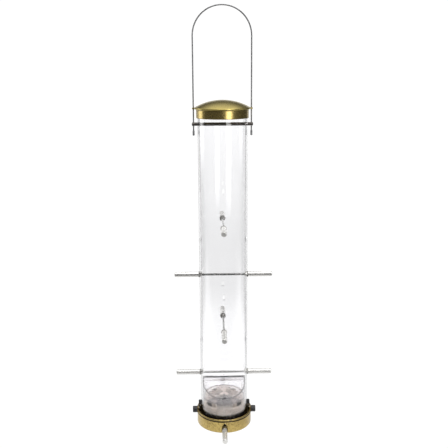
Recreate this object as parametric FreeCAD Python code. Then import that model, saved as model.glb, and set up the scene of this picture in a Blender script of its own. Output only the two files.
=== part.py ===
import FreeCAD, Part
import math
import os

# Hanging seed feeder: a clear tube with five levels of perches, a domed lid that slides up a wire hanger, and
# a cast base with a clear seed deflector, held to the tube by two sprung levers.
#
# Frame: +Z up, X across the hanger, -Y the front. The origin is the centre of the base's underside.
# Lengths are in millimetres and angles in degrees.

Vector = FreeCAD.Vector
ORIGIN = Vector(0, 0, 0)
X_AXIS = Vector(1, 0, 0)
Y_AXIS = Vector(0, 1, 0)
Z_AXIS = Vector(0, 0, 1)
TOUCHING = 1e-6

# Fits
RUNNING_FIT = 0.05
SEATED_FIT = 0.02

# How far a cutting shape runs past the face that it cuts
CUT_MARGIN = 1.0

# Seed tube
TUBE_R = 35.0
TUBE_WALL = 2.5
TUBE_BOTTOM_Z = 9.5
TUBE_TOP_Z = 464.0
TUBE_CHAMFER = 0.4
PORT_RISE = 52.0
PORT_WIDTH = 3.2
PORT_HEIGHT = 8.0

# Perches: level 1 runs front to back through the base, and each level above is a quarter turn on
PERCH_LEVELS = 5
BASE_PERCH_Z = 3.9
PERCH_PITCH = 76.2
PERCH_REACH = 71.0
ROD_R = 1.6
SLEEVE_R = 3.75
SLEEVE_END_WALL = 2.0
SLEEVE_END_ROUND = 1.2
BUSH_FLANGE_R = 4.2
BUSH_FLANGE_T = 1.0
BUSH_SPIGOT_R = 3.0
BUSH_SPIGOT_PROUD = 0.5

# Wire hanger and its crossbar
WIRE_R = 1.0
WIRE_X = 40.2
HANGER_TOP_Z = 609.6
WIRE_END_Z = 434.0
WIRE_PAD_LENGTH = 7.0
WIRE_PAD_WIDTH = 2.8
WIRE_PAD_T = 1.5
WIRE_PAD_ROUND = 0.6
CROSSBAR_R = 2.38
CROSSBAR_HALF = 42.5
CROSSBAR_Z = 449.7
CROSSBAR_CHAMFER = 0.5

# Lid
LID_R = 39.2
LID_RIM_Z = 470.4
LID_RIM_T = 1.9
LID_RIM_WIDTH = 5.0
LID_BEAD = 0.3
LID_APEX_Z = 482.9
LID_SHEET = 1.0
LID_EAR_R = 2.0
LID_EAR_T = 1.7
LID_EAR_HOLE_R = 1.25
COLLAR_R = 36.6
COLLAR_T = 0.9
COLLAR_HEM = 0.3
COLLAR_BOTTOM_Z = 458.2
COLLAR_STOP_Z = 465.3
COLLAR_STOP_T = 1.0
COLLAR_STOP_R = 31.0

# Base ring
RING_R = 40.6
RING_INNER_R = 38.2
RING_FOOT_ROUND = 2.5
RING_BAND_TOP_Z = 17.8
RING_BAND_ROUND = 0.8
RING_GROOVE_R = 39.95
LIP_R = 1.3
LIP_CENTRE_R = 39.4
LIP_CENTRE_Z = 19.9
LIP_JOIN_DEG = -63.0
LIP_CROWN_DEG = 47.0
LIP_INNER_DEG = 157.0
FLOOR_T = 2.5
LEDGE_R = 33.0
NOTCH_HALF_WIDTH = 4.5
NOTCH_SHOULDER_Z = 7.0
NOTCH_FLANK_X = 2.8
NOTCH_FLANK_Z = 12.6
NOTCH_APEX_Z = 16.4
NOTCH_SEAT_Y = 37.5
DRAIN_R = 2.2
DRAIN_CIRCLE_R = 11.0
DRAIN_COUNT = 8

# Release levers, drawn for the +X side
PIVOT_X = 38.0
PIVOT_Z = 24.3
PIN_R = 1.0
PIN_HALF = 4.9
EAR_INNER_X = 35.5
EAR_OUTER_X = 39.0
EAR_NEAR_Y = 3.0
EAR_FAR_Y = 4.5
EAR_TOP_R = 2.0
SPRING_SEAT_X = 36.6
SPRING_SEAT_TOP_Z = 21.4
BUTTON_SLOT_R = 5.3
BUTTON_SLOT_Z = 18.5
LEVER_HALF_WIDTH = 2.8
LEVER_BARREL_R = 2.2
LEVER_FACE_X = 40.9
LEVER_FACE_DROP = 0.9
LEVER_BACK_X = 39.6
LEVER_BACK_DROP = 2.9
LEVER_FOOT_Z = 14.8
LEVER_HEEL_X = 37.4
LEVER_HEEL_DROP = 2.1
LEVER_ARM_X = 36.7
LEVER_ARM_T = 1.2
LEVER_ARM_DROP = 1.5
LEVER_NECK_RISE = 2.1
LEVER_SHOULDER_X = 39.4
LEVER_SHOULDER_RISE = 1.6
LEVER_TOP_Z = 32.0
STUD_R = 1.5
STUD_LENGTH = 4.0
BUTTON_R = 4.8
BUTTON_Z = 19.0
BUTTON_END_X = 47.5
BUTTON_ROUND = 1.0
BUTTON_BORE_SPARE = 0.2
TIP_BOTTOM_Z = 28.4
TIP_TOP_Z = 33.3
TIP_OUTER_X = 38.5
TIP_HALF_WIDTH = 3.3
TIP_ROUND = 0.6
SPRING_WIRE_R = 0.25
SPRING_R = 2.0
SPRING_TURNS = 3.0
SPRING_Z = 18.4

# Clear insert that stands in the base, inside the tube
INSERT_R = 32.2
INSERT_WALL_R = 31.4
INSERT_WALL_T = 1.8
DISC_BOTTOM_Z = 42.0
DISC_TOP_Z = 43.6
SLOT_COUNT = 24
SLOT_WIDTH = 1.3
SLOT_INNER_R = 7.0
SLOT_OUTER_R = 24.0
SLOT_OVERCUT = 0.1
WINDOW_ANGLE = 38.4
WINDOW_WIDTH = 18.0
WINDOW_BOTTOM_Z = 35.0
WINDOW_TOP_Z = 41.2
WINDOW_ROUND = 2.4
WINDOW_CUT_DEPTH = 6.0
POST_HALF_WIDTH = 8.5
RIB_COUNT = 5
RIB_FIRST_Z = 20.0
RIB_PITCH = 3.0
RIB_HEIGHT = 1.2
RIB_R = 32.0
BOSS_R = 3.6
BOSS_CIRCLE_R = 21.0
BOSS_COUNT = 4
BOSS_FIRST_DEG = 45.0
SCREW_R = 1.5
SCREW_HEAD_R = 2.9
SCREW_HEAD_DEPTH = 1.5
SCREW_RECESS = 0.3
SCREW_LENGTH = 12.0
SCREW_HOLE_SPARE = 0.5
DRIVE_WIDTH = 0.7
DRIVE_REACH = 1.6
DRIVE_DEPTH = 0.8

# Seed deflector: a two-sided slide whose ridge lies along X
DEFLECTOR_R = 31.9
DEFLECTOR_WALL = 1.8
RIDGE_Z = 73.4
RIDGE_HALF_WIDTH = 0.6
SLIDE_FOOT_Z = 52.1
SLIDE_R = 62.0

# Worked out from the sizes above
TUBE_INNER_R = TUBE_R - TUBE_WALL
ARCH_CENTRE_Z = HANGER_TOP_Z - WIRE_R - WIRE_X
SLIDE_RUN = DEFLECTOR_R - RIDGE_HALF_WIDTH
SLIDE_FALL = RIDGE_Z - SLIDE_FOOT_Z
SLIDE_CHORD = math.hypot(SLIDE_RUN, SLIDE_FALL)
SLIDE_SETBACK = math.sqrt(SLIDE_R ** 2 - (SLIDE_CHORD / 2) ** 2)
SLIDE_CENTRE_Y = (RIDGE_HALF_WIDTH + DEFLECTOR_R) / 2 + SLIDE_SETBACK * SLIDE_FALL / SLIDE_CHORD
SLIDE_CENTRE_Z = (RIDGE_Z + SLIDE_FOOT_Z) / 2 + SLIDE_SETBACK * SLIDE_RUN / SLIDE_CHORD


def cylinder(radius, start, end):
    axis = end.sub(start)
    return Part.makeCylinder(radius, axis.Length, start, axis)


def block(low, high):
    size = Vector(*high).sub(Vector(*low))
    return Part.makeBox(size.x, size.y, size.z, Vector(*low))


def outline(start, moves):
    """Closed face in the XZ plane. A move is (x, z) for a line or (mid x, mid z, x, z) for an arc."""
    first = Vector(start[0], 0, start[1])
    here = first
    edges = []
    for move in moves:
        there = Vector(move[-2], 0, move[-1])
        if len(move) == 4:
            edges.append(Part.Arc(here, Vector(move[0], 0, move[1]), there).toShape())
        else:
            edges.append(Part.makeLine(here, there))
        here = there
    if here.distanceToPoint(first) > TOUCHING:
        edges.append(Part.makeLine(here, first))
    return Part.Face(Part.Wire(edges))


def revolved(start, moves):
    return outline(start, moves).revolve(ORIGIN, Z_AXIS, 360)


def on_circle(centre_r, centre_z, radius, degrees):
    angle = math.radians(degrees)
    return centre_r + radius * math.cos(angle), centre_z + radius * math.sin(angle)


def turned(shape, degrees):
    return shape.rotated(ORIGIN, Z_AXIS, degrees)


def round_edges(shape, radius, wanted):
    return shape.makeFillet(radius, [edge for edge in shape.Edges if wanted(edge)])


def is_level(edge):
    return abs(edge.tangentAt(edge.FirstParameter).z) < TOUCHING


def runs_along_y(edge):
    return abs(edge.tangentAt(edge.FirstParameter).y) > 1 - TOUCHING


def rod_along(direction, radius, half_length, height):
    centre = Vector(0, 0, height)
    return cylinder(radius, centre.sub(direction * half_length), centre.add(direction * half_length))


def level_height(level):
    return BASE_PERCH_Z + (level - 1) * PERCH_PITCH


def level_axis(level):
    return Y_AXIS if level % 2 else X_AXIS


def level_sides(level):
    """The two ends of a perch, by name, each with the direction it points."""
    if level % 2:
        return {"front": Y_AXIS * -1, "back": Y_AXIS}
    return {"left": X_AXIS * -1, "right": X_AXIS}


def port(direction, height):
    """Upright slot with round ends, through one wall of the tube."""
    inner = direction * (TUBE_INNER_R - CUT_MARGIN)
    outer = direction * (TUBE_R + CUT_MARGIN)
    half = PORT_HEIGHT / 2 - PORT_WIDTH / 2
    low = Vector(0, 0, height - half)
    high = Vector(0, 0, height + half)
    ends = [cylinder(PORT_WIDTH / 2, inner.add(z), outer.add(z)) for z in (low, high)]
    across = Z_AXIS.cross(direction) * (PORT_WIDTH / 2)
    corners = [inner.add(low).sub(across), inner.add(low).add(across), inner.add(high).add(across)]
    corners += [inner.add(high).sub(across), inner.add(low).sub(across)]
    web = Part.Face(Part.makePolygon(corners)).extrude(outer.sub(inner))
    return web.fuse(ends)


def make_tube():
    inner, outer, chamfer = TUBE_INNER_R, TUBE_R, TUBE_CHAMFER
    low, high = TUBE_BOTTOM_Z, TUBE_TOP_Z
    tube = revolved((inner + chamfer, low), [
        (outer - chamfer, low), (outer, low + chamfer), (outer, high - chamfer), (outer - chamfer, high),
        (inner + chamfer, high), (inner, high - chamfer), (inner, low + chamfer)])
    holes = [rod_along(X_AXIS, CROSSBAR_R + RUNNING_FIT, TUBE_R + CUT_MARGIN, CROSSBAR_Z)]
    for level in range(1, PERCH_LEVELS + 1):
        if level > 1:
            hole_r = BUSH_SPIGOT_R + SEATED_FIT
            holes.append(rod_along(level_axis(level), hole_r, TUBE_R + CUT_MARGIN, level_height(level)))
        for direction in level_sides(level).values():
            holes.append(port(direction, level_height(level) + PORT_RISE))
    return tube.cut(holes)


def sleeve_start(level):
    return NOTCH_SEAT_Y if level == 1 else TUBE_R + BUSH_FLANGE_T


def make_perch_rod(level):
    return rod_along(level_axis(level), ROD_R, PERCH_REACH - SLEEVE_END_WALL, level_height(level))


def make_perch_sleeve(level, direction):
    centre = Vector(0, 0, level_height(level))
    start = centre.add(direction * sleeve_start(level))
    tip = centre.add(direction * PERCH_REACH)
    sleeve = cylinder(SLEEVE_R, start, tip)
    sleeve = round_edges(sleeve, SLEEVE_END_ROUND,
                         lambda edge: edge.Closed and edge.CenterOfMass.distanceToPoint(tip) < TOUCHING)
    return sleeve.cut(cylinder(ROD_R + SEATED_FIT, start, tip.sub(direction * SLEEVE_END_WALL)))


def make_perch_bushes():
    """Flanged bushes that line the tube's perch holes, above the base perch."""
    bushes = []
    for level in range(2, PERCH_LEVELS + 1):
        centre = Vector(0, 0, level_height(level))
        for direction in level_sides(level).values():
            inner = centre.add(direction * (TUBE_INNER_R - BUSH_SPIGOT_PROUD))
            seat = centre.add(direction * TUBE_R)
            outer = centre.add(direction * (TUBE_R + BUSH_FLANGE_T))
            bush = cylinder(BUSH_SPIGOT_R, inner, seat).fuse(cylinder(BUSH_FLANGE_R, seat, outer))
            bushes.append(bush.cut(cylinder(ROD_R + SEATED_FIT, inner, outer)))
    return Part.makeCompound(bushes)


def make_bail_wire():
    foot = WIRE_END_Z
    path = Part.Wire([
        Part.makeLine(Vector(-WIRE_X, 0, foot), Vector(-WIRE_X, 0, ARCH_CENTRE_Z)),
        Part.Arc(Vector(-WIRE_X, 0, ARCH_CENTRE_Z), Vector(0, 0, ARCH_CENTRE_Z + WIRE_X),
                 Vector(WIRE_X, 0, ARCH_CENTRE_Z)).toShape(),
        Part.makeLine(Vector(WIRE_X, 0, ARCH_CENTRE_Z), Vector(WIRE_X, 0, foot))])
    section = Part.Wire([Part.makeCircle(WIRE_R, Vector(-WIRE_X, 0, foot), Z_AXIS)])
    wire = path.makePipeShell([section], True, False)
    pads = []
    for side in (-1, 1):
        x = side * WIRE_X
        low = (x - WIRE_PAD_WIDTH / 2, -WIRE_PAD_T / 2, foot)
        high = (x + WIRE_PAD_WIDTH / 2, WIRE_PAD_T / 2, foot + WIRE_PAD_LENGTH)
        upright = block(low, high)
        pads.append(round_edges(upright, WIRE_PAD_ROUND, is_level))
    return wire.fuse(pads).removeSplitter()


def make_crossbar():
    bar = rod_along(X_AXIS, CROSSBAR_R, CROSSBAR_HALF, CROSSBAR_Z)
    bar = bar.makeChamfer(CROSSBAR_CHAMFER, [edge for edge in bar.Edges if edge.Closed])
    drop = Vector(0, 0, CROSSBAR_Z - CROSSBAR_R - CUT_MARGIN)
    rise = Vector(0, 0, CROSSBAR_Z + CROSSBAR_R + CUT_MARGIN)
    holes = []
    for side in (-1, 1):
        offset = X_AXIS * side * WIRE_X
        holes.append(cylinder(WIRE_R + SEATED_FIT, drop.add(offset), rise.add(offset)))
    return bar.cut(holes)


def make_lid_dome():
    edge_z = LID_RIM_Z + LID_RIM_T
    rise = LID_APEX_Z - edge_z
    dome_r = (LID_R ** 2 + rise ** 2) / (2 * rise)
    centre_z = LID_APEX_Z - dome_r

    def height(radius, r):
        return centre_z + math.sqrt(radius ** 2 - r ** 2)

    inner_r = dome_r - LID_SHEET
    rim_inner = LID_R - LID_RIM_WIDTH
    edge_r = LID_R - LID_BEAD
    dome = revolved((0, LID_APEX_Z), [
        (LID_R / 2, height(dome_r, LID_R / 2), edge_r, height(dome_r, edge_r)),
        (LID_R + LID_BEAD, LID_RIM_Z + LID_RIM_T / 2, edge_r, LID_RIM_Z),
        (rim_inner, LID_RIM_Z),
        (rim_inner, height(inner_r, rim_inner)),
        (rim_inner / 2, height(inner_r, rim_inner / 2), 0, height(inner_r, 0))])
    ears = []
    holes = []
    for side in (-1, 1):
        x = side * WIRE_X
        base = Vector(x, 0, LID_RIM_Z)
        ears.append(cylinder(LID_EAR_R, base, base.add(Z_AXIS * LID_EAR_T)))
        below = base.sub(Z_AXIS * CUT_MARGIN)
        holes.append(cylinder(LID_EAR_HOLE_R, below, Vector(x, 0, edge_z + CUT_MARGIN)))
    return dome.fuse(ears).cut(holes)


def make_lid_collar():
    inner = COLLAR_R - COLLAR_T
    hem = COLLAR_HEM
    stop_top = COLLAR_STOP_Z + COLLAR_STOP_T
    return revolved((inner, COLLAR_BOTTOM_Z + hem), [
        (inner + hem, COLLAR_BOTTOM_Z), (COLLAR_R - hem, COLLAR_BOTTOM_Z), (COLLAR_R, COLLAR_BOTTOM_Z + hem),
        (COLLAR_R, LID_RIM_Z), (inner, LID_RIM_Z), (inner, stop_top), (COLLAR_STOP_R, stop_top),
        (COLLAR_STOP_R, COLLAR_STOP_Z), (inner, COLLAR_STOP_Z)])


def ring_body():
    foot = RING_FOOT_ROUND
    corner = foot * (1 - math.sqrt(0.5))
    shoulder = RING_BAND_ROUND * (1 - math.sqrt(0.5))
    join = on_circle(LIP_CENTRE_R, LIP_CENTRE_Z, LIP_R, LIP_JOIN_DEG)
    crown = on_circle(LIP_CENTRE_R, LIP_CENTRE_Z, LIP_R, LIP_CROWN_DEG)
    inside = on_circle(LIP_CENTRE_R, LIP_CENTRE_Z, LIP_R, LIP_INNER_DEG)
    return revolved((0, 0), [
        (RING_R - foot, 0),
        (RING_R - corner, corner, RING_R, foot),
        (RING_R, RING_BAND_TOP_Z - RING_BAND_ROUND),
        (RING_R - shoulder, RING_BAND_TOP_Z - shoulder, RING_GROOVE_R, RING_BAND_TOP_Z),
        join,
        crown + inside,
        (RING_INNER_R, TUBE_BOTTOM_Z),
        (LEDGE_R, TUBE_BOTTOM_Z),
        (LEDGE_R, FLOOR_T),
        (0, FLOOR_T)])


def perch_notch(side):
    """Pointed arch through the ring's wall, over the base perch, on the side where y has this sign."""
    face = outline((-NOTCH_HALF_WIDTH, -CUT_MARGIN), [
        (NOTCH_HALF_WIDTH, -CUT_MARGIN),
        (NOTCH_HALF_WIDTH, NOTCH_SHOULDER_Z),
        (NOTCH_FLANK_X, NOTCH_FLANK_Z, 0, NOTCH_APEX_Z),
        (-NOTCH_FLANK_X, NOTCH_FLANK_Z, -NOTCH_HALF_WIDTH, NOTCH_SHOULDER_Z)])
    face.translate(Y_AXIS * side * NOTCH_SEAT_Y)
    return face.extrude(Y_AXIS * side * (RING_R - NOTCH_SEAT_Y + CUT_MARGIN))


def lever_bracket():
    """Two ears and the spring's seat, on the +X side of the ledge."""
    foot_z = TUBE_BOTTOM_Z - CUT_MARGIN
    pieces = [block((EAR_INNER_X, -EAR_NEAR_Y, foot_z), (SPRING_SEAT_X, EAR_NEAR_Y, SPRING_SEAT_TOP_Z))]
    for side in (-1, 1):
        near, far = sorted((side * EAR_NEAR_Y, side * EAR_FAR_Y))
        pieces.append(block((EAR_INNER_X, near, foot_z), (EAR_OUTER_X, far, PIVOT_Z)))
        pieces.append(cylinder(EAR_TOP_R, Vector(PIVOT_X, near, PIVOT_Z), Vector(PIVOT_X, far, PIVOT_Z)))
    bracket = pieces[0].fuse(pieces[1:])
    pivot = Vector(PIVOT_X, 0, PIVOT_Z)
    pin_reach = Y_AXIS * (EAR_FAR_Y + CUT_MARGIN)
    return bracket.cut(cylinder(PIN_R, pivot.sub(pin_reach), pivot.add(pin_reach)))


def button_slot():
    inner_x = RING_INNER_R - CUT_MARGIN
    outer_x = RING_R + CUT_MARGIN
    bottom = cylinder(BUTTON_SLOT_R, Vector(inner_x, 0, BUTTON_SLOT_Z), Vector(outer_x, 0, BUTTON_SLOT_Z))
    top = block((inner_x, -BUTTON_SLOT_R, BUTTON_SLOT_Z), (outer_x, BUTTON_SLOT_R, PIVOT_Z))
    return bottom.fuse(top)


def boss_places():
    for index in range(BOSS_COUNT):
        angle = math.radians(BOSS_FIRST_DEG + index * 360 / BOSS_COUNT)
        yield BOSS_CIRCLE_R * math.cos(angle), BOSS_CIRCLE_R * math.sin(angle)


def make_base_ring():
    ring = ring_body()
    ring = ring.cut([button_slot(), turned(button_slot(), 180)])
    ring = ring.fuse([lever_bracket(), turned(lever_bracket(), 180)])
    openings = [perch_notch(-1), perch_notch(1)]
    openings.append(rod_along(Y_AXIS, ROD_R + SEATED_FIT, RING_R, BASE_PERCH_Z))
    for index in range(DRAIN_COUNT):
        angle = math.radians((index + 0.5) * 360 / DRAIN_COUNT)
        x, y = DRAIN_CIRCLE_R * math.cos(angle), DRAIN_CIRCLE_R * math.sin(angle)
        openings.append(cylinder(DRAIN_R, Vector(x, y, -CUT_MARGIN), Vector(x, y, FLOOR_T + CUT_MARGIN)))
    shank_r = SCREW_R + RUNNING_FIT
    head_r = SCREW_HEAD_R + RUNNING_FIT
    for x, y in boss_places():
        head = Vector(x, y, SCREW_RECESS)
        openings.append(cylinder(shank_r, head, Vector(x, y, FLOOR_T + CUT_MARGIN)))
        openings.append(cylinder(head_r, Vector(x, y, -CUT_MARGIN), head))
        openings.append(Part.makeCone(head_r, shank_r, SCREW_HEAD_DEPTH, head, Z_AXIS))
    return ring.cut(openings)


def make_insert_screws():
    screws = []
    for x, y in boss_places():
        head = Part.makeCone(SCREW_HEAD_R, SCREW_R, SCREW_HEAD_DEPTH, Vector(x, y, SCREW_RECESS), Z_AXIS)
        shank_start = SCREW_RECESS + SCREW_HEAD_DEPTH / 2
        shank = cylinder(SCREW_R, Vector(x, y, shank_start), Vector(x, y, SCREW_RECESS + SCREW_LENGTH))
        screw = head.fuse(shank).removeSplitter()
        drive_low = SCREW_RECESS - CUT_MARGIN
        drive_high = SCREW_RECESS + DRIVE_DEPTH
        half = DRIVE_WIDTH / 2
        cross = block((x - DRIVE_REACH, y - half, drive_low), (x + DRIVE_REACH, y + half, drive_high)).fuse(
            block((x - half, y - DRIVE_REACH, drive_low), (x + half, y + DRIVE_REACH, drive_high)))
        screws.append(screw.cut(cross))
    return Part.makeCompound(screws)


def insert_window(angle):
    """Opening with rounded corners in the insert's wall, this far round from the front."""
    half = WINDOW_WIDTH / 2
    low = (-half, -INSERT_R - CUT_MARGIN, WINDOW_BOTTOM_Z)
    high = (half, WINDOW_CUT_DEPTH - INSERT_R, WINDOW_TOP_Z)
    opening = round_edges(block(low, high), WINDOW_ROUND, runs_along_y)
    return turned(opening, angle)


def make_base_insert():
    inner_r = INSERT_WALL_R - INSERT_WALL_T
    shell = revolved((inner_r, FLOOR_T), [
        (INSERT_WALL_R, FLOOR_T), (INSERT_WALL_R, DISC_BOTTOM_Z), (INSERT_R, DISC_BOTTOM_Z),
        (INSERT_R, DISC_TOP_Z), (0, DISC_TOP_Z), (0, DISC_BOTTOM_Z), (inner_r, DISC_BOTTOM_Z)])
    wall_mid_r = INSERT_WALL_R - INSERT_WALL_T / 2
    additions = []
    for index in range(RIB_COUNT):
        low = RIB_FIRST_Z + index * RIB_PITCH
        middle = low + RIB_HEIGHT / 2
        additions.append(revolved((wall_mid_r, low), [
            (INSERT_WALL_R, low), (RIB_R, middle, INSERT_WALL_R, low + RIB_HEIGHT),
            (wall_mid_r, low + RIB_HEIGHT)]))
    pads = cylinder(INSERT_R, Vector(0, 0, TUBE_BOTTOM_Z), Vector(0, 0, DISC_BOTTOM_Z))
    pads = pads.cut(cylinder(wall_mid_r, Vector(0, 0, 0), Vector(0, 0, DISC_TOP_Z)))
    reach = INSERT_R + CUT_MARGIN
    additions.append(pads.common(block((-POST_HALF_WIDTH, -reach, 0), (POST_HALF_WIDTH, reach, DISC_TOP_Z))))
    for x, y in boss_places():
        additions.append(cylinder(BOSS_R, Vector(x, y, FLOOR_T), Vector(x, y, DISC_BOTTOM_Z)))
    insert = shell.fuse(additions).removeSplitter()
    cuts = [rod_along(Y_AXIS, ROD_R + RUNNING_FIT, INSERT_R + CUT_MARGIN, BASE_PERCH_Z)]
    for side in (0, 180):
        cuts += [insert_window(side - WINDOW_ANGLE), insert_window(side + WINDOW_ANGLE)]
    for x, y in boss_places():
        top = SCREW_RECESS + SCREW_LENGTH + SCREW_HOLE_SPARE
        cuts.append(cylinder(SCREW_R + SEATED_FIT, Vector(x, y, FLOOR_T - CUT_MARGIN), Vector(x, y, top)))
    half = SLOT_WIDTH / 2
    slot_floor = DISC_BOTTOM_Z - SLOT_OVERCUT
    slot = block((SLOT_INNER_R, -half, slot_floor), (SLOT_OUTER_R, half, DISC_TOP_Z + CUT_MARGIN))
    for index in range(SLOT_COUNT):
        cuts.append(turned(slot, (index + 0.5) * 360 / SLOT_COUNT))
    return insert.cut(cuts)


def slide_form(radius, depth, bottom_z):
    """Roof with two concave slopes, bounded by a cylinder. Its slopes lie this deep under the slides."""
    def slope(y):
        return SLIDE_CENTRE_Z - math.sqrt((SLIDE_R + depth) ** 2 - (SLIDE_CENTRE_Y - y) ** 2)

    reach = DEFLECTOR_R + CUT_MARGIN
    face = outline((-reach, bottom_z), [
        (reach, bottom_z),
        (reach, slope(reach)),
        (reach / 2, slope(reach / 2), RIDGE_HALF_WIDTH, slope(RIDGE_HALF_WIDTH)),
        (-RIDGE_HALF_WIDTH, slope(RIDGE_HALF_WIDTH)),
        (-reach / 2, slope(reach / 2), -reach, slope(reach))])
    face.rotate(ORIGIN, Z_AXIS, 90)
    face.translate(X_AXIS * -reach)
    bound = cylinder(radius, Vector(0, 0, bottom_z - CUT_MARGIN), Vector(0, 0, RIDGE_Z + CUT_MARGIN))
    return face.extrude(X_AXIS * 2 * reach).common(bound)


def make_seed_deflector():
    outer = slide_form(DEFLECTOR_R, 0, DISC_TOP_Z)
    return outer.cut(slide_form(DEFLECTOR_R - DEFLECTOR_WALL, DEFLECTOR_WALL, DISC_TOP_Z - CUT_MARGIN))


def make_lever():
    arm_back = LEVER_ARM_X + LEVER_ARM_T
    side_view = outline((LEVER_ARM_X, LEVER_TOP_Z), [
        (arm_back, LEVER_TOP_Z),
        (arm_back, PIVOT_Z + LEVER_NECK_RISE),
        (LEVER_SHOULDER_X, PIVOT_Z + LEVER_SHOULDER_RISE),
        (LEVER_FACE_X, PIVOT_Z - LEVER_FACE_DROP),
        (LEVER_FACE_X, LEVER_FOOT_Z),
        (LEVER_BACK_X, LEVER_FOOT_Z),
        (LEVER_BACK_X, PIVOT_Z - LEVER_BACK_DROP),
        (LEVER_HEEL_X, PIVOT_Z - LEVER_HEEL_DROP),
        (LEVER_ARM_X, PIVOT_Z - LEVER_ARM_DROP)])
    side_view.translate(Y_AXIS * -LEVER_HALF_WIDTH)
    plate = side_view.extrude(Y_AXIS * 2 * LEVER_HALF_WIDTH)
    low = Vector(PIVOT_X, -LEVER_HALF_WIDTH, PIVOT_Z)
    high = Vector(PIVOT_X, LEVER_HALF_WIDTH, PIVOT_Z)
    barrel = cylinder(LEVER_BARREL_R, low, high)
    stud_root = Vector(LEVER_BACK_X, 0, BUTTON_Z)
    stud = cylinder(STUD_R, stud_root, Vector(LEVER_FACE_X + STUD_LENGTH, 0, BUTTON_Z))
    return plate.fuse([barrel, stud]).removeSplitter().cut(cylinder(PIN_R + RUNNING_FIT, low, high))


def make_button():
    start = Vector(LEVER_FACE_X, 0, BUTTON_Z)
    end = Vector(BUTTON_END_X, 0, BUTTON_Z)
    button = round_edges(cylinder(BUTTON_R, start, end), BUTTON_ROUND,
                         lambda edge: edge.Closed and edge.CenterOfMass.x > BUTTON_END_X - TOUCHING)
    bore = cylinder(STUD_R + SEATED_FIT, start, start.add(X_AXIS * (STUD_LENGTH + BUTTON_BORE_SPARE)))
    return button.cut(bore)


def make_tip():
    low = (TUBE_R, -TIP_HALF_WIDTH, TIP_BOTTOM_Z)
    high = (TIP_OUTER_X, TIP_HALF_WIDTH, TIP_TOP_Z)
    tip = round_edges(block(low, high), TIP_ROUND, lambda edge: edge.CenterOfMass.z > TIP_BOTTOM_Z + TOUCHING)
    pocket = block((LEVER_ARM_X, -LEVER_HALF_WIDTH, TIP_BOTTOM_Z - CUT_MARGIN),
                   (LEVER_ARM_X + LEVER_ARM_T, LEVER_HALF_WIDTH, LEVER_TOP_Z))
    return tip.cut(pocket)


def make_pin():
    return cylinder(PIN_R, Vector(PIVOT_X, -PIN_HALF, PIVOT_Z), Vector(PIVOT_X, PIN_HALF, PIVOT_Z))


def make_spring(side):
    """Coil between its seat and the lever's back. The side is 1 on the right and -1 on the left."""
    gap = SEATED_FIT + SPRING_WIRE_R
    length = LEVER_BACK_X - SPRING_SEAT_X - 2 * gap
    helix = Part.makeHelix(length / SPRING_TURNS, length, SPRING_R)
    section = Part.Wire([Part.makeCircle(SPRING_WIRE_R, Vector(SPRING_R, 0, 0), Y_AXIS)])
    coil = Part.Wire(helix).makePipeShell([section], True, True)
    coil.rotate(ORIGIN, Y_AXIS, 90 * side)
    coil.translate(Vector(side * (SPRING_SEAT_X + gap), 0, SPRING_Z))
    return coil


def main():
    os.makedirs("parts", exist_ok=True)
    nodes = {
        "tube": make_tube(),
        "perch_bushes": make_perch_bushes(),
        "bail_wire": make_bail_wire(),
        "crossbar": make_crossbar(),
        "lid_dome": make_lid_dome(),
        "lid_collar": make_lid_collar(),
        "base_ring": make_base_ring(),
        "base_insert": make_base_insert(),
        "seed_deflector": make_seed_deflector(),
        "insert_screws": make_insert_screws(),
        "lever_spring_right": make_spring(1),
        "lever_spring_left": make_spring(-1),
    }
    for level in range(1, PERCH_LEVELS + 1):
        nodes[f"perch_rod_{level}"] = make_perch_rod(level)
        for side, direction in level_sides(level).items():
            nodes[f"perch_sleeve_{level}_{side}"] = make_perch_sleeve(level, direction)
    lever_pieces = {"lever": make_lever, "button": make_button, "grip_tip": make_tip, "lever_pin": make_pin}
    for name, make in lever_pieces.items():
        nodes[f"{name}_right"] = make()
        nodes[f"{name}_left"] = turned(make(), 180)
    for name, shape in nodes.items():
        shape.exportStep(f"parts/{name}.step")
        print(f"{name}: {len(shape.Solids)} solids, valid {shape.isValid()}, {shape.Volume / 1000:.2f} cm3")


main()
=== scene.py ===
import math

import bpy
from mathutils import Matrix, Vector


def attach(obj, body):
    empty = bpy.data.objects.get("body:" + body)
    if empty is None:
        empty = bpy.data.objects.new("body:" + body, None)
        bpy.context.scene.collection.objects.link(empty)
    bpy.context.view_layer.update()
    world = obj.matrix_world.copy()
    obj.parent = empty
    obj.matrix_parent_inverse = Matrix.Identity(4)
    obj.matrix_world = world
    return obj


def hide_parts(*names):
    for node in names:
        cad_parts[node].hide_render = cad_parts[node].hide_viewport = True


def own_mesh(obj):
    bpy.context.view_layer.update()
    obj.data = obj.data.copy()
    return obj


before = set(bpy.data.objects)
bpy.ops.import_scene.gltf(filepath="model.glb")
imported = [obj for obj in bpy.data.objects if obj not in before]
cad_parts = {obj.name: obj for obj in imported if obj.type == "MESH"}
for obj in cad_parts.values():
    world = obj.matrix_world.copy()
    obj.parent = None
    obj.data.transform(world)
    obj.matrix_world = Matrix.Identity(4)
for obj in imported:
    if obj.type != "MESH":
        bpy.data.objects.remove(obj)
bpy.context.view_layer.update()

# A hanging seed feeder in a white studio. Everything is in metres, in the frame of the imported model: +Z up,
# -Y the front, and the origin at the centre of the base's underside.

# Camera
CAMERA_DISTANCE = 0.979
CAMERA_AZIMUTH = math.radians(-0.98)
CAMERA_HEADING = math.radians(-1.06)
CAMERA_HEIGHT = 0.5272
CAMERA_TILT = math.radians(12.66)
CAMERA_ROLL = math.radians(-0.32)
CAMERA_LENS = 56.24
SENSOR_WIDTH = 36.0

# Stage: the floor is low enough for the base to come off above it
FLOOR_DROP = 0.16
FLOOR_RADIUS = 2.94
TABLE_DROP = 0.03
TABLE_RADIUS = 2.2
FLOOR_SIDES = 96

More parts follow.
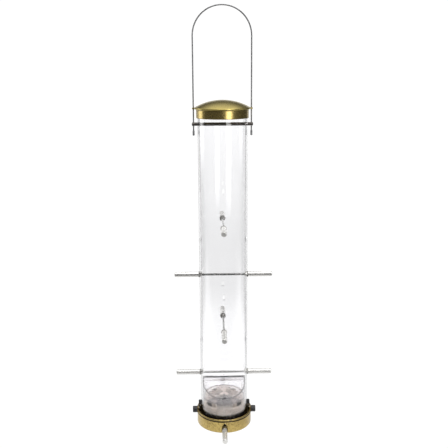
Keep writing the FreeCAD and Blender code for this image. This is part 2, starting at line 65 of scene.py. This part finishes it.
# Base ring: the groove under its lip, its inner radius, and how dark the shade painted in the groove, on the
# lip and inside the ring is
GROOVE_LOW = 0.0175
GROOVE_HIGH = 0.0187
GROOVE_SOFT = 0.0003
LIP_FADE = 0.0010
LIP_SHADE = 0.32
RING_INSIDE = 0.0384
INSIDE_SHADE = 0.70

# Collar of the lid: its height, the shade painted at the top where it goes up under the dome, and how dark it
# is along the bottom edge
COLLAR_BOTTOM = 0.4582
COLLAR_BOTTOM_FADE = 0.0014
COLLAR_BOTTOM_SHADE = 0.45
COLLAR_TOP = 0.4704
COLLAR_TOP_FADE = 0.0022
COLLAR_TOP_SHADE = 0.75

# Clear insert: where shade is painted on its foot and in its rib grooves, where its slot walls are drawn
# darker and a warm reflection of the brass ring is painted low on its wall, and the colours of each
PAINTED_EDGE_WAVER = 0.0004
# Painted shade: below this height the insert's foot, down inside the ring, is drawn near black.
FOOT_HEIGHT = 0.0236
FOOT_FADE = 0.0015
FOOT_PAINTED_SHADE = (0.03, 0.027, 0.024)
# The upright slot walls in the insert's top are drawn darker.
SLOTS_REACH = 0.0245
SLOTS_FLOOR = 0.0419
SLOT_WALL_DARKER = (0.66, 0.62, 0.61)
# Painted reflection: warm light from the brass ring, painted low on the insert's wall, which is also made
# milkier there.
BRASS_GLOW_LOW = 0.0355
BRASS_GLOW_HIGH = 0.0430
PAINTED_BRASS_GLOW = (0.985, 0.905, 0.825)
BRASS_GLOW_MILK = 0.16
RIB_MIDDLE = 0.0206
RIB_PITCH = 0.003
RIB_EDGE = (0.0006, 0.0012)
RIBS_TOP = 0.0330
POST_HALF_WIDTH = 0.0085
# Painted shade in the grooves between the ribs.
RIB_PAINTED_SHADE = (0.50, 0.40, 0.32)
RIB_PAINTED_SHADE_AMOUNT = 0.55
EDGE_SOFT = 0.0005

# Noise scales, in cells per metre, and how the noise is drawn out along the axes
PATINA_SCALE = 38.0
MOTTLE_SCALE = 420.0
TURNED_SCALE = 2600.0
BRUSHED_SCALE = 120.0
SCRATCH_SCALE = 420.0
DRAWN_SCALE = 300.0
SMUDGE_SCALE = 60.0
DUST_SCALE = 240.0
FLOW_SCALE = 30.0
MARK_SCALE = 900.0
PAINTED_EDGE_WAVER_SCALE = 300.0
FLOOR_SCALE = 6.0
BRUSHED_STRETCH = (1.0, 1.0, 30.0)
SCRATCH_STRETCH = (1.0, 1.6, 9.0)
DRAWN_STRETCH = 22.0
FLOW_STRETCH = (1.0, 1.0, 0.15)

# Depths of the bumps
GRAIN_DEPTH = 0.000006
MOTTLE_DEPTH = 0.000015
DRAWN_DEPTH = 0.000001

# Marks on all brass: the patina's most, the scratches, and the painted shade in grooves, hollows and under
# overhangs
PATINA_MOST = 0.50
SCRATCH_AMOUNT = 0.22
SCRATCH_LIGHTER = 1.35
PAINTED_SHADE_DARK = 0.10
PAINTED_SHADE_ROUGHER = 0.25
LACQUER_ROUGHNESS = 0.10
LACQUER_IOR = 1.5

# Brass: bright and dark colour, roughness, direction of the lines, lacquer and mottling
SPUN_BRASS = ((0.54, 0.435, 0.14), (0.36, 0.285, 0.08), 0.27, "turned", 0.08, 0.15)
BAND_BRASS = ((0.56, 0.43, 0.15), (0.36, 0.27, 0.085), 0.27, "brushed", 0.30, 0.25)
CAST_BRASS = ((0.62, 0.46, 0.15), (0.25, 0.17, 0.05), 0.28, "brushed", 0.5, 1.7)
LEVER_BRASS = ((0.22, 0.15, 0.07), (0.09, 0.06, 0.03), 0.34, "brushed", 0.5, 1.0)

# Steel: colour, roughness, direction of the lines and how much they show
WIRE_STEEL = ((0.30, 0.30, 0.305), 0.32, "z", 0.04)
CROSSBAR_STEEL = ((0.17, 0.155, 0.145), 0.30, "x")
BRIGHT_STEEL = ((0.62, 0.62, 0.63), 0.24, "y")
ROD_ROUGHNESS = 0.22
ROD_BLUE = 0.985

# How bright each perch's rod is drawn, from the base upward: lit and shaded copies of one steel, painted
# light and shade for how much light each level reflects
ROD_PAINTED_BRIGHTNESS = (0.62, 0.58, 0.80, 0.34, 0.80)

# The sleeves' nickel by the axis they lie along, and how metallic each perch's sleeves are, from the base
# upward: the plating has dulled on most of them
NICKEL = {"y": (0.88, 0.87, 0.84), "x": (0.82, 0.81, 0.785)}
NICKEL_ROUGHNESS = 0.26
NICKEL_STREAK = 0.03
SLEEVE_METAL = (0.50, 0.55, 0.50, 0.82, 0.50)

# Rubber and plastic mouldings: colour, dusty colour, roughness, the grain's scale and its depth
BUSH_RUBBER = ((0.34, 0.33, 0.31), (0.46, 0.45, 0.43), 0.55, 900.0, 0.00002)
TIP_RUBBER = ((0.012, 0.012, 0.013), (0.04, 0.04, 0.04), 0.60, 900.0, 0.00004)
BUTTON_PLASTIC = ((0.018, 0.018, 0.020), (0.06, 0.06, 0.062), 0.42, 1500.0, 0.00003)

# Clear plastic: tint, hazy tint and milkiness, then what all three share. Its shadows keep most of the light.
CLEAR_TUBE = ((0.985, 0.985, 0.99), (0.975, 0.975, 0.982), 0.0)
CLEAR_INSERT = ((0.955, 0.92, 0.905), (0.91, 0.875, 0.86), 0.06)
CLEAR_DEFLECTOR = ((0.97, 0.96, 0.97), (0.94, 0.93, 0.945), 0.03)
CLEAR_IOR = 1.49
MARK_ROUGHNESS = 0.03
SHADOW_KEEP = 0.96

# Lever springs: how far out they stand
SPRING_SEAT_X = 0.0366

# Studio light: radiances, where 1 shows as white. The backdrop has one value where it is looked at directly
# and others where it is seen through the clear tube, which veils it. The rest only light the feeder.
WHITE = 1.06
CLEAR_OF_VEIL = 1.18
VEILED = 1.0
FAR_LIFT = 0.09
BACK_GLOW = 1.0
ROOM_LEVEL = 0.08
ROOM_CEILING = 1.5
TABLE_GLOW = 0.85
FLOOR_GLOW = 0.06

# The bright table: a distance along X counts a quarter, so it is four times as wide as it is deep. Behind it,
# where Y is most of the distance, a bright sweep starts.
TABLE_X_SHARE = 0.25
TABLE_BRIGHT_TO = 0.18
TABLE_DARK_FROM = 0.38
TABLE_SWEEP = (0.60, 0.84)

# How far off on the floor the veil starts and is full, and where it thins again
VEIL_FROM = 0.78
VEIL_TO = 1.21
FAR_LIFT_FROM = 1.58

# The room, by the direction of a ray: heights over which the veil ends, the ceiling brightens and the sweep
# fades, and the depths over which the sweep starts
ROOM_VEIL = (-0.17, -0.07)
CEILING_RISE = (0.50, 1.0)
SWEEP_DEPTH = (0.66, 0.86)
SWEEP_HEIGHT = (0.22, 0.38)

# Softboxes: name, azimuth, distance, height, width, the box's own height and its radiance. Azimuth 0 is the
# front and 90 the right. Their upper and lower edges fade over a share of the box's height.
SOFTBOXES = (
    ("softbox_front_right", 27.5, 1.6, 0.60, 0.62, 1.42, 4.0),
    ("softbox_left", -112, 1.5, 0.74, 0.80, 1.42, 2.2),
    ("softbox_overhead", 20, 0.5, 1.9, 1.4, 1.4, 2.0),
)
SOFTBOX_FEATHER = 0.20
SOFTBOX_AIM = Vector((0.0, 0.0, 0.30))


# --- Shader helpers -----------------------------------------------------------------------------------------

def put(tree, kind, values=(), **settings):
    """Adds a node. Values go to its inputs by name or number, and a socket given as a value is linked."""
    made = tree.nodes.new(kind)
    for name, setting in settings.items():
        setattr(made, name, setting)
    for name, value in dict(values).items():
        if isinstance(value, bpy.types.NodeSocket):
            tree.links.new(value, made.inputs[name])
        else:
            made.inputs[name].default_value = value
    return made


def maths(tree, operation, first, second=0.0, third=0.0):
    return put(tree, "ShaderNodeMath", {0: first, 1: second, 2: third}, operation=operation).outputs[0]


def fade(tree, value, start, end, low=0.0, high=1.0):
    """Smooth step of a value, from low at start to high at end."""
    made = put(tree, "ShaderNodeMapRange", {"Value": value, "From Min": start, "From Max": end,
                                            "To Min": low, "To Max": high}, interpolation_type="SMOOTHSTEP")
    return made.outputs["Result"]


def blended(tree, amount, first, second):
    """Colour mix. A colour is a socket or three numbers."""
    first, second = [c if isinstance(c, bpy.types.NodeSocket) else (*c, 1.0) for c in (first, second)]
    made = put(tree, "ShaderNodeMix", {0: amount, 6: first, 7: second}, data_type="RGBA")
    return made.outputs[2]


def place(tree, scale=(1.0, 1.0, 1.0)):
    """The point's place in the model's frame, stretched along the axes."""
    where = put(tree, "ShaderNodeTexCoord").outputs["Object"]
    return put(tree, "ShaderNodeMapping", {"Vector": where, "Scale": scale}).outputs[0]


def parts_of(tree, vector):
    return put(tree, "ShaderNodeSeparateXYZ", {0: vector}).outputs


def from_axis(tree, x, y):
    """Distance from the feeder's upright axis."""
    squares = [maths(tree, "MULTIPLY", part, part) for part in (x, y)]
    return maths(tree, "SQRT", maths(tree, "ADD", *squares))


def noise(tree, vector, scale, detail=4.0, rough=0.55, distortion=0.0):
    made = put(tree, "ShaderNodeTexNoise", {"Vector": vector, "Scale": scale, "Detail": detail,
                                            "Roughness": rough, "Distortion": distortion})
    return made.outputs["Fac"]


def bumped(tree, height, depth, strength=1.0, normal=None):
    values = {"Height": height, "Distance": depth, "Strength": strength}
    if normal is not None:
        values["Normal"] = normal
    return put(tree, "ShaderNodeBump", values).outputs[0]


def new_material(name):
    material = bpy.data.materials.new(name)
    material.use_nodes = True
    tree = material.node_tree
    tree.nodes.clear()
    return material, tree


def finish(tree, surface):
    put(tree, "ShaderNodeOutputMaterial", {"Surface": surface})


def principled(tree, values):
    values = dict(values)
    colour = values["Base Color"]
    if not isinstance(colour, bpy.types.NodeSocket):
        values["Base Color"] = (*colour, 1.0)
    return put(tree, "ShaderNodeBsdfPrincipled", values).outputs[0]


# --- Materials ----------------------------------------------------------------------------------------------

def brass_material(name, bright, dark, roughness, lines, coat, mottling, painted_shade=None):
    """Lacquered antique brass, turned in rings or brushed round the wall. A painted-shade function takes the
    distance from the axis and the height, and gives how much shade is painted there."""
    material, tree = new_material(name)
    where = place(tree)
    x, y, z = parts_of(tree, where)
    radius = from_axis(tree, x, y)
    patina = noise(tree, where, PATINA_SCALE, 6.0, 0.62, 0.4)
    mottle = noise(tree, where, MOTTLE_SCALE, 5.0, 0.65)
    if lines == "turned":
        ring = put(tree, "ShaderNodeCombineXYZ", {0: radius, 1: 0.0, 2: 0.0}).outputs[0]
        grain = noise(tree, ring, TURNED_SCALE, 3.0, 0.7)
    else:
        grain = noise(tree, place(tree, BRUSHED_STRETCH), BRUSHED_SCALE, 4.0, 0.65)
    scratches = noise(tree, place(tree, SCRATCH_STRETCH), SCRATCH_SCALE, 2.0, 0.5, 1.2)
    scratches = maths(tree, "MULTIPLY", fade(tree, scratches, 0.64, 0.72), SCRATCH_AMOUNT)
    amount = maths(tree, "ADD", fade(tree, patina, 0.38, 0.68, 0.0, PATINA_MOST),
                   fade(tree, mottle, 0.40, 0.66, -0.12 * mottling, 0.30 * mottling))
    colour = blended(tree, amount, bright, dark)
    colour = blended(tree, scratches, colour, [min(1.0, c * SCRATCH_LIGHTER) for c in bright])
    rough = maths(tree, "ADD", roughness, fade(tree, mottle, 0.35, 0.70, -0.04 * mottling, 0.08 * mottling))
    rough = maths(tree, "ADD", rough, fade(tree, grain, 0.3, 0.7, -0.03, 0.03))
    if painted_shade is not None:
        # Painted shade: the colour is darkened here where the part lies in shade, and made a little rougher.
        shade = painted_shade(tree, radius, z)
        colour = blended(tree, shade, colour, [c * PAINTED_SHADE_DARK for c in dark])
        rough = maths(tree, "ADD", rough, maths(tree, "MULTIPLY", shade, PAINTED_SHADE_ROUGHER))
    normal = bumped(tree, grain, GRAIN_DEPTH, 0.25)
    normal = bumped(tree, mottle, MOTTLE_DEPTH * mottling, 0.25, normal)
    finish(tree, principled(tree, {
        "Base Color": colour, "Metallic": 1.0, "Roughness": rough, "Normal": normal,
        "Coat Weight": coat, "Coat Roughness": LACQUER_ROUGHNESS, "Coat IOR": LACQUER_IOR}))
    return material


def band(tree, value, low, high, soft):
    """One between low and high, falling to zero over the soft width at each side."""
    up = fade(tree, value, low - soft, low)
    down = fade(tree, value, high, high + soft)
    return maths(tree, "SUBTRACT", up, down)


def painted_ring_shade(tree, radius, z):
    """Painted shade under the rolled lip, on the lip itself and on the inside of the ring."""
    groove = band(tree, z, GROOVE_LOW, GROOVE_HIGH, GROOVE_SOFT)
    inside = fade(tree, radius, RING_INSIDE, RING_INSIDE + EDGE_SOFT, INSIDE_SHADE, 0.0)
    lip = fade(tree, z, GROOVE_HIGH, GROOVE_HIGH + LIP_FADE, 0.0, LIP_SHADE)
    return maths(tree, "MINIMUM", maths(tree, "ADD", maths(tree, "ADD", groove, inside), lip), 1.0)


def painted_collar_shade(tree, radius, z):
    """Painted shade where the collar goes up under the dome; darker along its bottom edge too."""
    top = fade(tree, z, COLLAR_TOP - COLLAR_TOP_FADE, COLLAR_TOP, 0.0, COLLAR_TOP_SHADE)
    bottom = fade(tree, z, COLLAR_BOTTOM, COLLAR_BOTTOM + COLLAR_BOTTOM_FADE, COLLAR_BOTTOM_SHADE, 0.0)
    return maths(tree, "ADD", top, bottom)


def steel_material(name, colour, roughness, along, streak=0.10, metallic=1.0):
    """Drawn or plated metal whose fine lines run along the given axis."""
    material, tree = new_material(name)
    stretch = [1.0 if axis == along else DRAWN_STRETCH for axis in "xyz"]
    where = place(tree)
    lines = noise(tree, place(tree, stretch), DRAWN_SCALE, 3.0, 0.6)
    smudge = noise(tree, where, SMUDGE_SCALE, 4.0, 0.6, 0.6)
    worn = [c * (1.0 - 2.5 * streak) for c in colour]
    tint = blended(tree, fade(tree, lines, 0.35, 0.7), colour, worn)
    tint = blended(tree, fade(tree, smudge, 0.50, 0.75, 0.0, 0.45), tint, [c * 0.82 for c in colour])
    rough = maths(tree, "ADD", roughness, fade(tree, smudge, 0.35, 0.70, -0.04, 0.09))
    rough = maths(tree, "ADD", rough, fade(tree, lines, 0.3, 0.7, -0.02, 0.03))
    normal = bumped(tree, lines, DRAWN_DEPTH, 0.2)
    finish(tree, principled(tree, {
        "Base Color": tint, "Metallic": metallic, "Roughness": rough, "Normal": normal,
        "Specular IOR Level": 0.6}))
    return material


def dark_moulding(name, colour, lighter, roughness, grain_scale, grain_depth):
    """Rubber or plastic with a fine moulded grain and a little dust."""
    material, tree = new_material(name)
    where = place(tree)
    grain = noise(tree, where, grain_scale, 3.0, 0.6)
    dust_and_shade_noise = noise(tree, where, DUST_SCALE, 5.0, 0.65)
    tint = blended(tree, fade(tree, dust_and_shade_noise, 0.45, 0.75, 0.0, 0.8), colour, lighter)
    rough = maths(tree, "ADD", roughness, fade(tree, dust_and_shade_noise, 0.4, 0.7, -0.06, 0.10))
    normal = bumped(tree, grain, grain_depth, 0.6)
    finish(tree, principled(tree, {
        "Base Color": tint, "Roughness": rough, "Normal": normal, "Specular IOR Level": 0.45}))
    return material


def slot_walls(tree, where):
    """One on the upright walls of the slots in the insert's top, which are drawn darker."""
    x, y, z = parts_of(tree, where)
    tilt = parts_of(tree, put(tree, "ShaderNodeNewGeometry").outputs["True Normal"])[2]
    upright = maths(tree, "LESS_THAN", maths(tree, "ABSOLUTE", tilt), 0.5)
    inside = maths(tree, "LESS_THAN", from_axis(tree, x, y), SLOTS_REACH)
    level = maths(tree, "GREATER_THAN", z, SLOTS_FLOOR)
    return maths(tree, "MULTIPLY", maths(tree, "MULTIPLY", upright, inside), level)


def rib_grooves(tree, where):
    """One in the grooves between the ribs on the insert's wall, to the sides of its smooth posts, where shade
    is painted.
    """
    x, _, z = parts_of(tree, where)
    from_rib = maths(tree, "PINGPONG", maths(tree, "SUBTRACT", z, RIB_MIDDLE), RIB_PITCH / 2)
    groove = fade(tree, from_rib, *RIB_EDGE)
    beside = fade(tree, maths(tree, "ABSOLUTE", x), POST_HALF_WIDTH, POST_HALF_WIDTH + EDGE_SOFT)
    ribbed = fade(tree, z, RIBS_TOP, RIBS_TOP + EDGE_SOFT, 1.0, 0.0)
    return maths(tree, "MULTIPLY", maths(tree, "MULTIPLY", groove, beside), ribbed)


def insert_painted_light(tree, where, colour, milk):
    """The insert's colour and milkiness, with painted shade on its foot and in its rib grooves, its slot
    walls drawn darker, and a painted warm reflection of the brass ring low on its wall.
    """
    # This noise wavers the edges of the painted shade and the painted reflection.
    dust_and_shade_noise = noise(tree, where, PAINTED_EDGE_WAVER_SCALE, 4.0, 0.6)
    height = maths(tree, "ADD", parts_of(tree, where)[2], fade(tree, dust_and_shade_noise, 0.3, 0.7, -PAINTED_EDGE_WAVER, PAINTED_EDGE_WAVER))
    # Painted reflection of the brass ring: low on the wall the colour turns warm and milkier.
    brass_glow = fade(tree, height, BRASS_GLOW_LOW, BRASS_GLOW_HIGH, 1.0, 0.0)
    # Painted shade between the ribs.
    rib_shade = maths(tree, "MULTIPLY", rib_grooves(tree, where), RIB_PAINTED_SHADE_AMOUNT)
    # Painted shade: the foot, down inside the ring, is drawn near black.
    foot_shade = fade(tree, height, FOOT_HEIGHT, FOOT_HEIGHT + FOOT_FADE, 1.0, 0.0)
    colour = blended(tree, slot_walls(tree, where), colour, SLOT_WALL_DARKER)
    colour = blended(tree, brass_glow, colour, PAINTED_BRASS_GLOW)
    colour = blended(tree, rib_shade, colour, RIB_PAINTED_SHADE)
    colour = blended(tree, foot_shade, colour, FOOT_PAINTED_SHADE)
    return colour, maths(tree, "ADD", milk, maths(tree, "MULTIPLY", brass_glow, BRASS_GLOW_MILK))


def clear_material(name, tint, haze, milk, painted_light=False):
    """Clear plastic with a trace of haze. Shadow rays pass through it, so that what is inside is lit."""
    material, tree = new_material(name)
    where = place(tree)
    flow = noise(tree, place(tree, FLOW_STRETCH), FLOW_SCALE, 4.0, 0.55)
    marks = fade(tree, noise(tree, where, MARK_SCALE, 4.0, 0.7), 0.62, 0.80)
    colour = blended(tree, fade(tree, flow, 0.35, 0.68), tint, haze)
    if painted_light:
        colour, milk = insert_painted_light(tree, where, colour, milk)
    glass = principled(tree, {
        "Base Color": colour, "Roughness": maths(tree, "MULTIPLY", marks, MARK_ROUGHNESS),
        "IOR": CLEAR_IOR, "Transmission Weight": maths(tree, "SUBTRACT", 1.0, milk)})
    is_shadow = put(tree, "ShaderNodeLightPath").outputs["Is Shadow Ray"]
    shadow_tint = (*[c * SHADOW_KEEP for c in tint], 1.0)
    through = put(tree, "ShaderNodeBsdfTransparent", {"Color": shadow_tint}).outputs[0]
    finish(tree, put(tree, "ShaderNodeMixShader", {0: is_shadow, 1: glass, 2: through}).outputs[0])
    return material


def give(nodes, material):
    for name in nodes:
        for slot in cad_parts[name].material_slots:
            slot.material = material


def named(*starts):
    return [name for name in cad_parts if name.startswith(starts)]


def finish_perch(level):
    """Rod and sleeves of one level. The odd levels run front to back, the even ones left to right."""
    along = "y" if level % 2 else "x"
    # Painted light and shade: each level's rod gets its own brightness.
    bright = ROD_PAINTED_BRIGHTNESS[level - 1]
    steel = (bright, bright, ROD_BLUE * bright)
    give([f"perch_rod_{level}"], steel_material(f"perch_rod_steel_{level}", steel, ROD_ROUGHNESS, along))
    nickel = steel_material(f"perch_sleeve_nickel_{level}", NICKEL[along], NICKEL_ROUGHNESS, along,
                            NICKEL_STREAK, SLEEVE_METAL[level - 1])
    give(named(f"perch_sleeve_{level}_"), nickel)


def finish_nodes():
    give(["lid_dome"], brass_material("antique_brass_spun", *SPUN_BRASS))
    give(["lid_collar"], brass_material("antique_brass_band", *BAND_BRASS, painted_collar_shade))
    give(["base_ring"], brass_material("antique_brass_cast", *CAST_BRASS, painted_ring_shade))
    give(["lever_left", "lever_right"], brass_material("lever_brass", *LEVER_BRASS))
    give(["bail_wire"], steel_material("hanger_wire", *WIRE_STEEL))
    give(["crossbar"], steel_material("hanger_crossbar", *CROSSBAR_STEEL))
    small_steel = named("lever_pin_", "lever_spring_") + ["insert_screws"]
    give(small_steel, steel_material("bright_steel", *BRIGHT_STEEL))
    give(["perch_bushes"], dark_moulding("bush_rubber", *BUSH_RUBBER))
    give(named("grip_tip_"), dark_moulding("tip_rubber", *TIP_RUBBER))
    give(named("button_"), dark_moulding("button_plastic", *BUTTON_PLASTIC))
    give(["tube"], clear_material("clear_tube", *CLEAR_TUBE))
    give(["base_insert"], clear_material("clear_insert", *CLEAR_INSERT, painted_light=True))
    give(["seed_deflector"], clear_material("clear_deflector", *CLEAR_DEFLECTOR))
    for level in range(1, len(ROD_PAINTED_BRIGHTNESS) + 1):
        finish_perch(level)


def make_springs():
    """Coil springs riding on the base, in place of the rigid ones."""
    for side, seat_x in (("right", SPRING_SEAT_X), ("left", -SPRING_SEAT_X)):
        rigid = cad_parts[f"lever_spring_{side}"]
        coil = bpy.data.objects.new(f"lever_coil_{side}", rigid.data.copy())
        bpy.context.scene.collection.objects.link(coil)
        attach(coil, "base")
        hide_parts(f"lever_spring_{side}")
        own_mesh(coil)


# --- Stage --------------------------------------------------------------------------------------------------

def ray_kinds(tree):
    """Two switches: the ray has met nothing but clear plastic, and it has met clear plastic at all."""
    path = put(tree, "ShaderNodeLightPath").outputs
    bounced = maths(tree, "ADD", path["Diffuse Depth"], path["Glossy Depth"])
    plain = maths(tree, "LESS_THAN", bounced, 0.5)
    through = maths(tree, "GREATER_THAN", path["Transmission Depth"], 0.5)
    return plain, through


def by_ray(tree, direct, veiled, reflected):
    """Radiance for what is seen directly, through clear plastic, and by the surfaces being lit."""
    plain, through = ray_kinds(tree)
    seen = put(tree, "ShaderNodeMix", {0: through, 2: direct, 3: veiled}).outputs[0]
    return put(tree, "ShaderNodeMix", {0: plain, 2: reflected, 3: seen}).outputs[0]


def make_disc(name, drop, radius, shade):
    """Level disc under the feeder that can't be seen from below. The shade gives its upper surface."""
    mesh = bpy.data.meshes.new(name)
    turns = [2 * math.pi * i / FLOOR_SIDES for i in range(FLOOR_SIDES)]
    rim = [(radius * math.cos(t), radius * math.sin(t), 0.0) for t in turns]
    mesh.from_pydata(rim, [], [list(range(FLOOR_SIDES))])
    disc = bpy.data.objects.new(name, mesh)
    disc.location.z = -drop
    bpy.context.scene.collection.objects.link(disc)
    material, tree = new_material(name)
    clear = put(tree, "ShaderNodeBsdfTransparent").outputs[0]
    underneath = put(tree, "ShaderNodeNewGeometry").outputs["Backfacing"]
    finish(tree, put(tree, "ShaderNodeMixShader", {0: underneath, 1: shade(tree), 2: clear}).outputs[0])
    mesh.materials.append(material)


def length(tree, vector):
    return put(tree, "ShaderNodeVectorMath", {0: vector}, operation="LENGTH").outputs["Value"]


def floor_shade(tree):
    """White to look at, and a little greyer through the clear tube."""
    where = place(tree)
    away = length(tree, where)
    veil = maths(tree, "ADD", fade(tree, away, VEIL_FROM, VEIL_TO, CLEAR_OF_VEIL, VEILED),
                 fade(tree, away, FAR_LIFT_FROM, FLOOR_RADIUS, 0.0, FAR_LIFT))
    white = blended(tree, noise(tree, where, FLOOR_SCALE, 3.0, 0.5), (1.0, 1.0, 1.0), (0.99, 0.99, 0.99))
    strength = by_ray(tree, WHITE, veil, TABLE_GLOW)
    return put(tree, "ShaderNodeEmission", {"Color": white, "Strength": strength}).outputs[0]


def table_shade(tree):
    """The bright table and the sweep behind it. They only light the feeder: what is seen is the floor."""
    where = place(tree)
    away = maths(tree, "MAXIMUM", length(tree, where), 0.001)
    across = length(tree, place(tree, (TABLE_X_SHARE, 1.0, 1.0)))
    table = fade(tree, across, TABLE_BRIGHT_TO, TABLE_DARK_FROM, TABLE_GLOW, FLOOR_GLOW)
    behind = maths(tree, "DIVIDE", parts_of(tree, where)[1], away)
    glow = maths(tree, "MAXIMUM", table, fade(tree, behind, *TABLE_SWEEP, 0.0, BACK_GLOW))
    lit = put(tree, "ShaderNodeEmission", {"Color": (1.0, 1.0, 1.0, 1.0), "Strength": glow}).outputs[0]
    clear = put(tree, "ShaderNodeBsdfTransparent").outputs[0]
    plain, _ = ray_kinds(tree)
    return put(tree, "ShaderNodeMixShader", {0: plain, 1: lit, 2: clear}).outputs[0]


def make_surroundings():
    """A white backdrop to look at, and a dim room with a soft ceiling for the metal to reflect."""
    world = bpy.data.worlds.new("studio_room")
    bpy.context.scene.world = world
    world.use_nodes = True
    tree = world.node_tree
    tree.nodes.clear()
    _, y, z = parts_of(tree, put(tree, "ShaderNodeTexCoord").outputs["Generated"])
    veil = fade(tree, z, *ROOM_VEIL, VEILED + FAR_LIFT, CLEAR_OF_VEIL)
    room = fade(tree, z, *CEILING_RISE, ROOM_LEVEL, ROOM_CEILING)
    sweep = fade(tree, y, *SWEEP_DEPTH, 0.0, BACK_GLOW)
    sweep = maths(tree, "MULTIPLY", sweep, fade(tree, z, *SWEEP_HEIGHT, 1.0, 0.0))
    strength = by_ray(tree, WHITE, veil, maths(tree, "MAXIMUM", room, sweep))
    white = {"Color": (1.0, 1.0, 1.0, 1.0), "Strength": strength}
    background = put(tree, "ShaderNodeBackground", white).outputs[0]
    put(tree, "ShaderNodeOutputWorld", {"Surface": background})


def make_softbox(name, azimuth, distance, height, width, tall, radiance):
    """Rectangular light that faces the feeder and fades towards its upper and lower edges."""
    lamp = bpy.data.lights.new(name, "AREA")
    lamp.shape = "RECTANGLE"
    lamp.size = width
    lamp.size_y = tall
    lamp.energy = radiance * math.pi * width * tall
    lamp.use_nodes = True
    tree = lamp.node_tree
    tree.nodes.clear()
    up = parts_of(tree, put(tree, "ShaderNodeNewGeometry").outputs["Parametric"])[1]
    feathered = fade(tree, maths(tree, "PINGPONG", up, 0.5), 0.0, SOFTBOX_FEATHER)
    glow = put(tree, "ShaderNodeEmission", {"Strength": feathered}).outputs[0]
    put(tree, "ShaderNodeOutputLight", {"Surface": glow})
    box = bpy.data.objects.new(name, lamp)
    turn = math.radians(azimuth)
    box.location = (distance * math.sin(turn), -distance * math.cos(turn), height)
    aim = SOFTBOX_AIM - box.location
    box.rotation_euler = aim.to_track_quat("-Z", "Y").to_euler()
    box.visible_camera = False
    bpy.context.scene.collection.objects.link(box)


def make_camera():
    across = Vector((math.cos(CAMERA_HEADING), math.sin(CAMERA_HEADING), 0.0))
    ahead = Vector((-math.sin(CAMERA_HEADING) * math.cos(CAMERA_TILT),
                    math.cos(CAMERA_HEADING) * math.cos(CAMERA_TILT), -math.sin(CAMERA_TILT)))
    above = across.cross(ahead)
    right = across * math.cos(CAMERA_ROLL) + above * math.sin(CAMERA_ROLL)
    up = above * math.cos(CAMERA_ROLL) - across * math.sin(CAMERA_ROLL)
    lens = bpy.data.cameras.new("studio_camera")
    lens.lens = CAMERA_LENS
    lens.sensor_width = SENSOR_WIDTH
    camera = bpy.data.objects.new("studio_camera", lens)
    turned = Matrix((right, up, -ahead)).transposed().to_4x4()
    spot = Vector((CAMERA_DISTANCE * math.sin(CAMERA_AZIMUTH), -CAMERA_DISTANCE * math.cos(CAMERA_AZIMUTH),
                   CAMERA_HEIGHT))
    camera.matrix_world = Matrix.Translation(spot) @ turned
    bpy.context.scene.collection.objects.link(camera)
    bpy.context.scene.camera = camera


def main():
    finish_nodes()
    make_springs()
    make_disc("studio_floor", FLOOR_DROP, FLOOR_RADIUS, floor_shade)
    make_disc("studio_table_light", TABLE_DROP, TABLE_RADIUS, table_shade)
    make_surroundings()
    for softbox in SOFTBOXES:
        make_softbox(*softbox)
    make_camera()
    bpy.context.scene.view_settings.view_transform = "Standard"


main()
